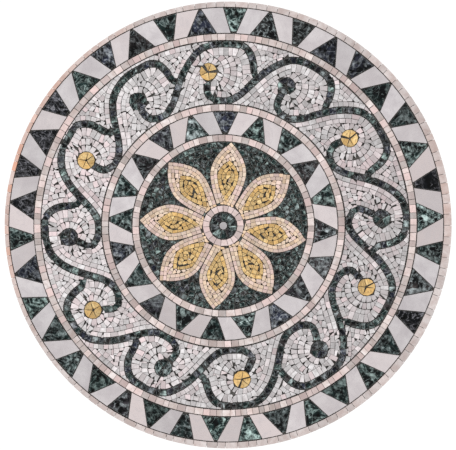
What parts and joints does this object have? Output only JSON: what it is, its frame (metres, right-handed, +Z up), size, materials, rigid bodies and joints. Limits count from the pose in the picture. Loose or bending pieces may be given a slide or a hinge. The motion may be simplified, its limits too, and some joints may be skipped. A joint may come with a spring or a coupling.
{
  "type": "mosaic panel",
  "caption": "Round marble mosaic wall panel: a petalled flower within rings of dark and pale rays and a running scroll, on a mesh backing.",
  "frame": {"origin": "middle of the flat back that lies against the wall", "axes": "+X to the right seen from the front, +Y into the wall, +Z up; the stones face -Y"},
  "size_m": [0.6, 0.01, 0.6],
  "materials": {
    "backing": "open glass-fibre mesh set in dry pale adhesive",
    "green_marble": "honed dark green and black marble, mottled grey-green",
    "pale_marble": "honed lilac-grey marble",
    "white_marble": "honed white-grey marble with pink clouds",
    "pink_marble": "honed pale pink marble",
    "yellow_marble": "honed honey yellow marble"
  },
  "bodies": {
    "root": {"mesh_backing": "backing", "edge_strip": "pink_marble", "outer_rays": "pale_marble", "outer_wedges": "green_marble", "outer_ring": "pink_marble", "scroll_field": "white_marble", "scroll_band": "green_marble", "scroll_eye_1": "yellow_marble", "scroll_eye_2": "yellow_marble", "scroll_eye_3": "yellow_marble", "scroll_eye_4": "yellow_marble", "scroll_eye_5": "yellow_marble", "scroll_eye_6": "yellow_marble", "middle_ring": "pink_marble", "inner_rays": "pale_marble", "inner_wedges": "green_marble", "inner_ring": "pink_marble", "flower_ground": "green_marble", "petal_1": "pink_marble", "petal_2": "pink_marble", "petal_3": "pink_marble", "petal_4": "pink_marble", "petal_5": "pink_marble", "petal_6": "pink_marble", "petal_7": "pink_marble", "petal_8": "pink_marble", "petal_heart_1": "yellow_marble", "petal_heart_2": "yellow_marble", "petal_heart_3": "yellow_marble", "petal_heart_4": "yellow_marble", "petal_heart_5": "yellow_marble", "petal_heart_6": "yellow_marble", "petal_heart_7": "yellow_marble", "petal_heart_8": "yellow_marble", "flower_ring": "pink_marble", "flower_disc": "green_marble", "flower_pip": "pale_marble"}
  },
  "joints": []
}
